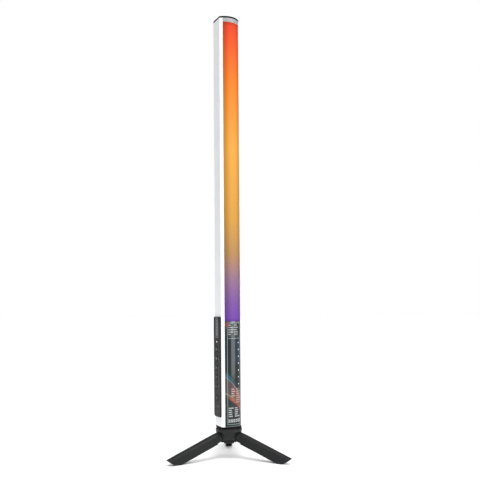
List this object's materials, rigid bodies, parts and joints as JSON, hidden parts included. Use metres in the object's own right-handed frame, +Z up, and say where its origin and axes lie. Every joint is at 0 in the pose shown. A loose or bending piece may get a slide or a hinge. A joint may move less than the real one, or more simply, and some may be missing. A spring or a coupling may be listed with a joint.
{
  "type": "led light tube on mini tripod",
  "caption": "Tall slim battery light tube with a colour-lit front, side control panel and screw sockets, standing on a folding mini tripod.",
  "frame": {"origin": "centre of the footprint of the three feet, on the floor, at the bottom centre of the whole object's box; the tube's axis stands 27.8 mm from it in +X and 5.0 mm in +Y", "axes": "+Z up along the tube; the lit front faces -Y; the control panel is on the -X side"},
  "size_m": [0.2233, 0.2457, 0.912],
  "materials": {
    "housing": "satin anodised, almost white",
    "lit_diffuser": "frosted, lit from inside",
    "smoked_cover": "glossy dark",
    "printed_film": "glossy film with an abstract pattern",
    "trim": "satin silver",
    "cap": "fine matt",
    "brass": "machined",
    "screw_steel": "blackened",
    "white_board": "solder mask",
    "emitter": "phosphor",
    "reflector": "white",
    "lead": "insulation",
    "cell_wrap": "shrink sleeve",
    "nickel": "nickel strip",
    "holder": "moulded",
    "green_board": "solder mask",
    "ferrite": "ferrite",
    "capacitor": "sleeved can",
    "chip": "epoxy",
    "washer_nylon": "nylon",
    "standoff": "nylon",
    "panel": "fine matt with a soft sheen",
    "switch": "stamped",
    "display": "dark glass front",
    "ribbon": "flexible film",
    "white_light": "lit pipe",
    "charge_pipe": "clear pipe",
    "port_steel": "stamped",
    "button": "fine matt",
    "tripod_plastic": "fine grained",
    "stud_steel": "zinc plated",
    "rubber": "matt",
    "foot_rubber": "matt"
  },
  "bodies": {
    "tripod": {"tripod_hub": "tripod_plastic", "tripod_stud": "stud_steel", "mount_pad": "rubber", "base_insert": "brass", "leg_pins": "stud_steel", "friction_washers": "washer_nylon"},
    "tube": {"rear_housing": "housing", "diffuser": "lit_diffuser", "front_cover": "smoked_cover", "label_film": "printed_film", "top_trim": "trim", "top_end_cap": "cap", "top_insert": "brass", "top_cap_screws": "screw_steel", "bottom_end_cap": "cap", "bottom_insert": "brass", "bottom_cap_screws": "screw_steel", "led_board": "white_board", "led_emitters": "emitter", "reflector_strips": "reflector", "led_leads": "lead", "battery_cells": "cell_wrap", "battery_tabs": "nickel", "battery_holder": "holder", "protection_board": "green_board", "battery_leads": "lead", "driver_board": "green_board", "driver_inductor": "ferrite", "driver_capacitors": "capacitor", "driver_chips": "chip", "board_standoffs": "standoff", "control_panel": "panel", "control_board": "green_board", "tactile_switches": "switch", "display_module": "display", "display_window": "display", "display_ribbon": "ribbon", "status_light": "white_light", "charge_light": "charge_pipe", "usb_port": "port_steel", "usb_tongue": "chip"},
    "left_leg": {"left_leg": "tripod_plastic", "left_foot": "foot_rubber"},
    "right_leg": {"right_leg": "tripod_plastic", "right_foot": "foot_rubber"},
    "rear_leg": {"rear_leg": "tripod_plastic", "rear_foot": "foot_rubber"},
    "mode_button": {"mode_button": "button"},
    "colour_button": {"colour_button": "button"},
    "effect_button": {"effect_button": "button"},
    "plus_button": {"plus_button": "button"},
    "minus_button": {"minus_button": "button"},
    "power_button": {"power_button": "button"}
  },
  "joints": [
    {"name": "tube_turn", "type": "hinge", "parent": "tripod", "child": "tube", "pos_m": [0.0278, 0.005, 0.062], "axis": [0, 0, 1], "continuous": true},
    {"name": "left_leg_fold", "type": "hinge", "parent": "tripod", "child": "left_leg", "pos_m": [0.00886, 0.00649, 0.0457], "axis": [-0.0785, -0.9969, 0], "range_deg": [0, 69]},
    {"name": "right_leg_fold", "type": "hinge", "parent": "tripod", "child": "right_leg", "pos_m": [0.03598, -0.01215, 0.0457], "axis": [0.9026, 0.4305, 0], "range_deg": [0, 69]},
    {"name": "rear_leg_fold", "type": "hinge", "parent": "tripod", "child": "rear_leg", "pos_m": [0.03856, 0.02066, 0.0457], "axis": [-0.8241, 0.5664, 0], "range_deg": [0, 69]},
    {"name": "mode_press", "type": "slide", "parent": "tube", "child": "mode_button", "axis": [0.9811, -0.1933, 0], "range_m": [0, 0.0005], "stiffness_N_per_m": 2000, "springref_m": -0.0004},
    {"name": "colour_press", "type": "slide", "parent": "tube", "child": "colour_button", "axis": [0.9811, -0.1933, 0], "range_m": [0, 0.0005], "stiffness_N_per_m": 2000, "springref_m": -0.0004},
    {"name": "effect_press", "type": "slide", "parent": "tube", "child": "effect_button", "axis": [0.9811, -0.1933, 0], "range_m": [0, 0.0005], "stiffness_N_per_m": 2000, "springref_m": -0.0004},
    {"name": "plus_press", "type": "slide", "parent": "tube", "child": "plus_button", "axis": [0.9811, -0.1933, 0], "range_m": [0, 0.0005], "stiffness_N_per_m": 2000, "springref_m": -0.0004},
    {"name": "minus_press", "type": "slide", "parent": "tube", "child": "minus_button", "axis": [0.9811, -0.1933, 0], "range_m": [0, 0.0005], "stiffness_N_per_m": 2000, "springref_m": -0.0004},
    {"name": "power_press", "type": "slide", "parent": "tube", "child": "power_button", "axis": [0.9811, -0.1933, 0], "range_m": [0, 0.0005], "stiffness_N_per_m": 2000, "springref_m": -0.0004}
  ]
}
